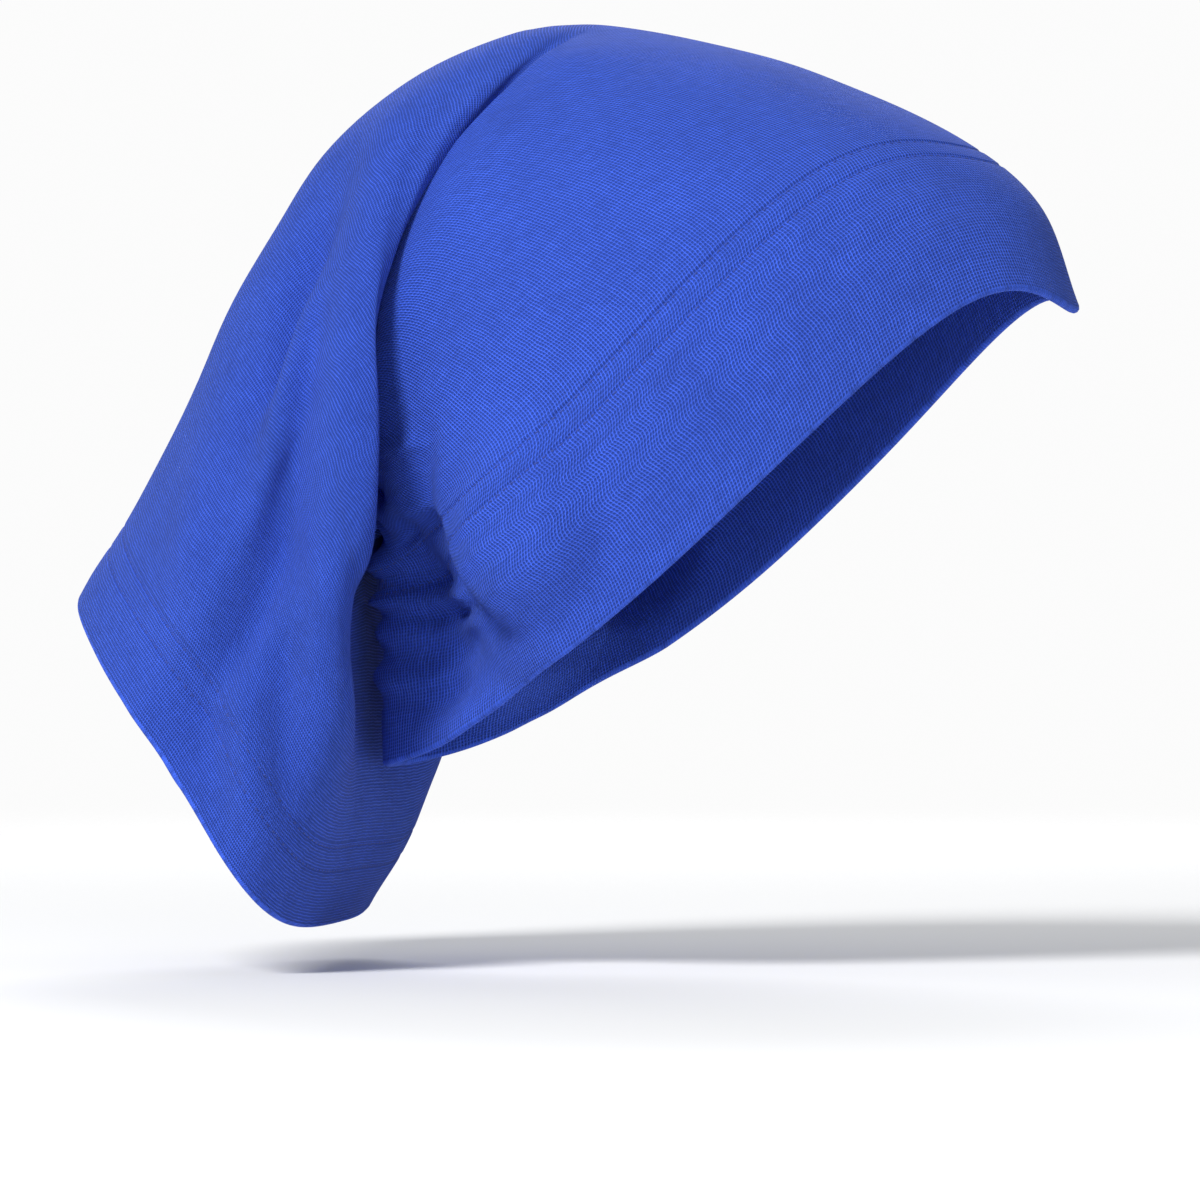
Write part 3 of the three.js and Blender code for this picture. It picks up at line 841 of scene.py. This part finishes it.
def needle_rows(name, distances, from_face):
    vertices, faces = [], []
    for distance in distances:
        points, normals = resample(*cloth_line(distance, from_face), STITCH / STITCH_STEPS)
        starts = np.arange(len(points) // STITCH_STEPS)[:, None] * STITCH_STEPS
        index = (starts + np.arange(len(STITCH_LIFT))[None]) % len(points)
        paths = points[index] + normals[index] * STITCH_LIFT[None, :, None]
        v, f = sweep(paths, THREAD_RADIUS * STITCH_SWELL, normals[index])
        start = sum(len(x) for x in vertices)
        vertices.append(v)
        faces += [tuple(i + start for i in face) for face in f]
    piece = add_mesh(name, np.concatenate(vertices), faces, THREAD)
    return piece


face_stitches = needle_rows("stitches_face_band", FACE_ROWS, True)
hem_stitches = needle_rows("stitches_back_hem", HEM_ROWS, False)


# %% Looper thread inside
LOOPER_SHARES = np.array([0.0, 0.35, 1.0, 0.65])
LOOPER_STEPS = len(LOOPER_SHARES)
LOOPER_DEPTH = 2 * JERSEY + 0.12


def looper(name, distances, from_face):
    lines = [cloth_line(d, from_face) for d in distances]
    count = int(round(np.linalg.norm(np.diff(lines[0][0], axis=0), axis=1).sum() / STITCH))
    rows = []
    for points, normals in lines:
        p, n = resample(points, normals, STITCH / LOOPER_STEPS)
        pick = (np.arange(count * LOOPER_STEPS) * len(p) / (count * LOOPER_STEPS)).astype(int)
        rows.append((p[pick] - n[pick] * LOOPER_DEPTH, n[pick]))
    share = np.tile(LOOPER_SHARES, count)[:, None]
    path = rows[0][0] * (1 - share) + rows[1][0] * share
    normal = unit(rows[0][1] * (1 - share) + rows[1][1] * share)
    v, f = sweep(path[None], np.full(len(path), THREAD_RADIUS * 0.9), normal[None], closed=True)
    piece = add_mesh(name, v, f, THREAD)
    return piece


band_looper = looper("looper_face_band", FACE_ROWS, True)
hem_looper = looper("looper_back_hem", HEM_ROWS, False)

# %% [markdown]
# ## The nape elastic
# The elastic lies inside, just ahead of the gather, round the lower part of the loop. It bridges the pleats, so it
# is laid from the lowest points of the finished cloth near it. It is a woven tape with a close rib across it.

# %% Elastic finish
def elastic_material():
    material = bpy.data.materials.new("woven_elastic")
    material.use_nodes = True
    tree = material.node_tree
    surface = tree.nodes["Principled BSDF"]
    knit = placed_group(tree, KNIT, Wale_Width=1.1, Course_Height=0.6, Wale_Strength=0.4, Course_Strength=1.0)
    dye = placed_group(tree, DYE, Patch_Size=0.006)
    ribbed = mixed(tree, knit.outputs["Height"], shade(0.4), shade(0.95))
    tree.links.new(mixed(tree, math_node(tree, "MULTIPLY", dye.outputs["Patch"], 0.3), ribbed, shade(0.5)),
                   surface.inputs["Base Color"])
    surface.inputs["Roughness"].default_value = 0.75
    raised = tree.nodes.new("ShaderNodeBump")
    raised.inputs["Distance"].default_value = 0.0002
    tree.links.new(knit.outputs["Height"], raised.inputs["Height"])
    tree.links.new(raised.outputs[0], surface.inputs["Normal"])
    return material


ELASTIC = elastic_material()


# %% Elastic tape
TAPE_REACH, TAPE_ROWS = 6, 9


def elastic_tape():
    use = np.cos(ANGLES) < math.cos(ELASTIC_FROM)
    angle = ANGLES[use]
    lengths = LENGTHS[:, use]
    to_gather = length_at(lengths, np.full((1, len(angle)), float(GATHER)))[0]
    start = place_at(lengths, to_gather - ELASTIC_INSET - ELASTIC_WIDTH)
    stop = place_at(lengths, to_gather - ELASTIC_INSET)
    place = rows_between(start, stop, TAPE_ROWS)
    points = bare(place, angle)
    finished, normal, _, _ = cloth(place, angle, lengths)
    low = ((finished - points) * normal).sum(-1).min(0)
    nearby = range(-TAPE_REACH, TAPE_REACH + 1)
    low = np.minimum.reduce([np.roll(low, k) for k in nearby])
    low = np.mean([np.roll(low, k) for k in nearby], axis=0)
    print("under the tape the cloth goes in by up to", round(-low.min(), 1), "mm")
    depth = (JERSEY + SEAM_GAP - low)[None, :, None]
    upper, lower = points - normal * depth, points - normal * (depth + ELASTIC_THICK)
    rows, count = place.shape
    rings = [*upper, *lower[::-1]]
    middle = upper[TAPE_ROWS // 2]
    widths = np.concatenate([[0], np.cumsum(np.linalg.norm(np.diff(middle, axis=0), axis=1))])
    faces, maps = [], []
    for k in range(len(rings)):
        n = (k + 1) % len(rings)
        for i in range(count - 1):
            faces.append((k * count + i, k * count + i + 1, n * count + i + 1, n * count + i))
            maps += [(widths[i], k), (widths[i + 1], k), (widths[i + 1], k + 1), (widths[i], k + 1)]
    for end in (0, count - 1):
        for k in range(rows - 1):
            other = len(rings) - 1 - k
            face = [k * count + end, (k + 1) * count + end, (other - 1) * count + end, other * count + end]
            faces.append(tuple(face if end == 0 else face[::-1]))
            maps += [(widths[end], k)] * 4
    piece = add_mesh("tape_nape_elastic", np.concatenate(rings), faces, ELASTIC)
    layer = piece.data.uv_layers.new(name="Knit")
    layer.data.foreach_set("uv", (np.array(maps) / 1000).ravel())
    mark_sharp(piece.data, {0, rows - 1, rows, 2 * rows - 1}, count)
    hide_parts("nape_elastic")


elastic_tape()

# %% [markdown]
# ## The worn areas
# Each piece of cloth has its worn area printed, one layer of its closed wall. Laid flat the jersey is smaller than
# worn where it is stretched. The band and the hem are folded; they are cut twice as deep. The body is cut on a
# slant, long over the crown and short under the nape, so it has an area of its own.


def one_layer(piece):
    return sum(p.area for p in piece.data.polygons) / 2


for piece in (band, body, hem):
    print(piece.name, "covers", round(one_layer(piece) * 1e4), "square centimetres")

# %% [markdown]
# ## Floor, light and camera
# A pale floor and large soft lights show cloth best. The main light is a panel up and a little behind the camera's
# side of the cap, so that the loose half shades the nape as it does in the photograph. The floor fades out before
# its edge, and the camera sees a plain white world, so there is no horizon.

# %% Floor
FLOOR_REACH, FLOOR_GAP, FLOOR_SIDES = 2.0, 0.012, 64
FADE_FROM, FADE_TO = 0.35, 1.7


def plain_floor():
    height = cad_box[0].z - FLOOR_GAP
    turns = [2 * math.pi * k / FLOOR_SIDES for k in range(FLOOR_SIDES)]
    corners = [(FLOOR_REACH * math.cos(t), FLOOR_REACH * math.sin(t), height) for t in turns]
    mesh = bpy.data.meshes.new("floor")
    mesh.from_pydata(corners, [], [tuple(range(FLOOR_SIDES))])
    floor = bpy.data.objects.new("floor", mesh)
    bpy.context.scene.collection.objects.link(floor)
    material = bpy.data.materials.new("pale_floor")
    material.use_nodes = True
    tree = material.node_tree
    surface = tree.nodes["Principled BSDF"]
    surface.inputs["Base Color"].default_value = (0.9, 0.9, 0.9, 1)
    surface.inputs["Roughness"].default_value = 0.9
    surface.inputs["Specular IOR Level"].default_value = 0.0
    place = tree.nodes.new("ShaderNodeTexCoord")
    away = tree.nodes.new("ShaderNodeVectorMath")
    away.operation = "LENGTH"
    tree.links.new(place.outputs["Object"], away.inputs[0])
    fade = tree.nodes.new("ShaderNodeMapRange")
    fade.interpolation_type = "SMOOTHERSTEP"
    fade.inputs["From Min"].default_value = FADE_FROM
    fade.inputs["From Max"].default_value = FADE_TO
    fade.inputs["To Min"].default_value = 1.0
    fade.inputs["To Max"].default_value = 0.0
    tree.links.new(away.outputs["Value"], fade.inputs["Value"])
    tree.links.new(fade.outputs[0], surface.inputs["Alpha"])
    mesh.materials.append(material)


plain_floor()

# %% World
world = bpy.data.worlds.new("studio")
world.use_nodes = True
sky = world.node_tree
seen, lighting = sky.nodes["Background"], sky.nodes.new("ShaderNodeBackground")
seen.inputs["Color"].default_value = (0.97, 0.97, 0.97, 1)
lighting.inputs["Color"].default_value = (0.93, 0.96, 1.0, 1)
lighting.inputs["Strength"].default_value = 0.27
ray, choice = sky.nodes.new("ShaderNodeLightPath"), sky.nodes.new("ShaderNodeMixShader")
sky.links.new(ray.outputs["Is Camera Ray"], choice.inputs["Fac"])
sky.links.new(lighting.outputs[0], choice.inputs[1])
sky.links.new(seen.outputs[0], choice.inputs[2])
sky.links.new(choice.outputs[0], sky.nodes["World Output"].inputs["Surface"])
bpy.context.scene.world = world


# %% Camera
VIEW_ANGLE, DISTANCE, MM_PER_PIXEL, PHOTO = math.radians(-78), 2.0, 0.26, 1200
VIEW_ASIDE, VIEW_DOWN = -0.0052, -0.1495
toward = Vector((math.sin(VIEW_ANGLE), -math.cos(VIEW_ANGLE), 0))
right = Vector((-toward.y, toward.x, 0))
target = right * VIEW_ASIDE + Vector((0, 0, VIEW_DOWN + JERSEY / 1000))
camera = bpy.data.cameras.new("camera")
camera.lens = camera.sensor_width * DISTANCE / (PHOTO * MM_PER_PIXEL / 1000)
view = bpy.data.objects.new("camera", camera)
view.location = target + toward * DISTANCE
view.rotation_euler = (-toward).to_track_quat("-Z", "Y").to_euler()
bpy.context.scene.collection.objects.link(view)
bpy.context.scene.camera = view
print("lens", round(camera.lens, 1), "mm")


# %% Lights
def soft_light(name, azimuth, elevation, distance, size, power):
    a, e = math.radians(azimuth), math.radians(elevation)
    back = Vector((math.sin(a) * math.cos(e), -math.cos(a) * math.cos(e), math.sin(e)))
    lamp = bpy.data.lights.new(name, "AREA")
    lamp.shape, lamp.size, lamp.energy = "DISK", size, power
    holder = bpy.data.objects.new(name, lamp)
    holder.location = target + back * distance
    holder.rotation_euler = (-back).to_track_quat("-Z", "Y").to_euler()
    bpy.context.scene.collection.objects.link(holder)


soft_light("main_panel", -108, 38, 2.2, 0.6, 46)
soft_light("camera_fill", -72, 12, 2.4, 0.8, 9)
soft_light("far_side", 100, 32, 2.2, 0.9, 24)
bpy.context.scene.view_settings.view_transform = "Standard"
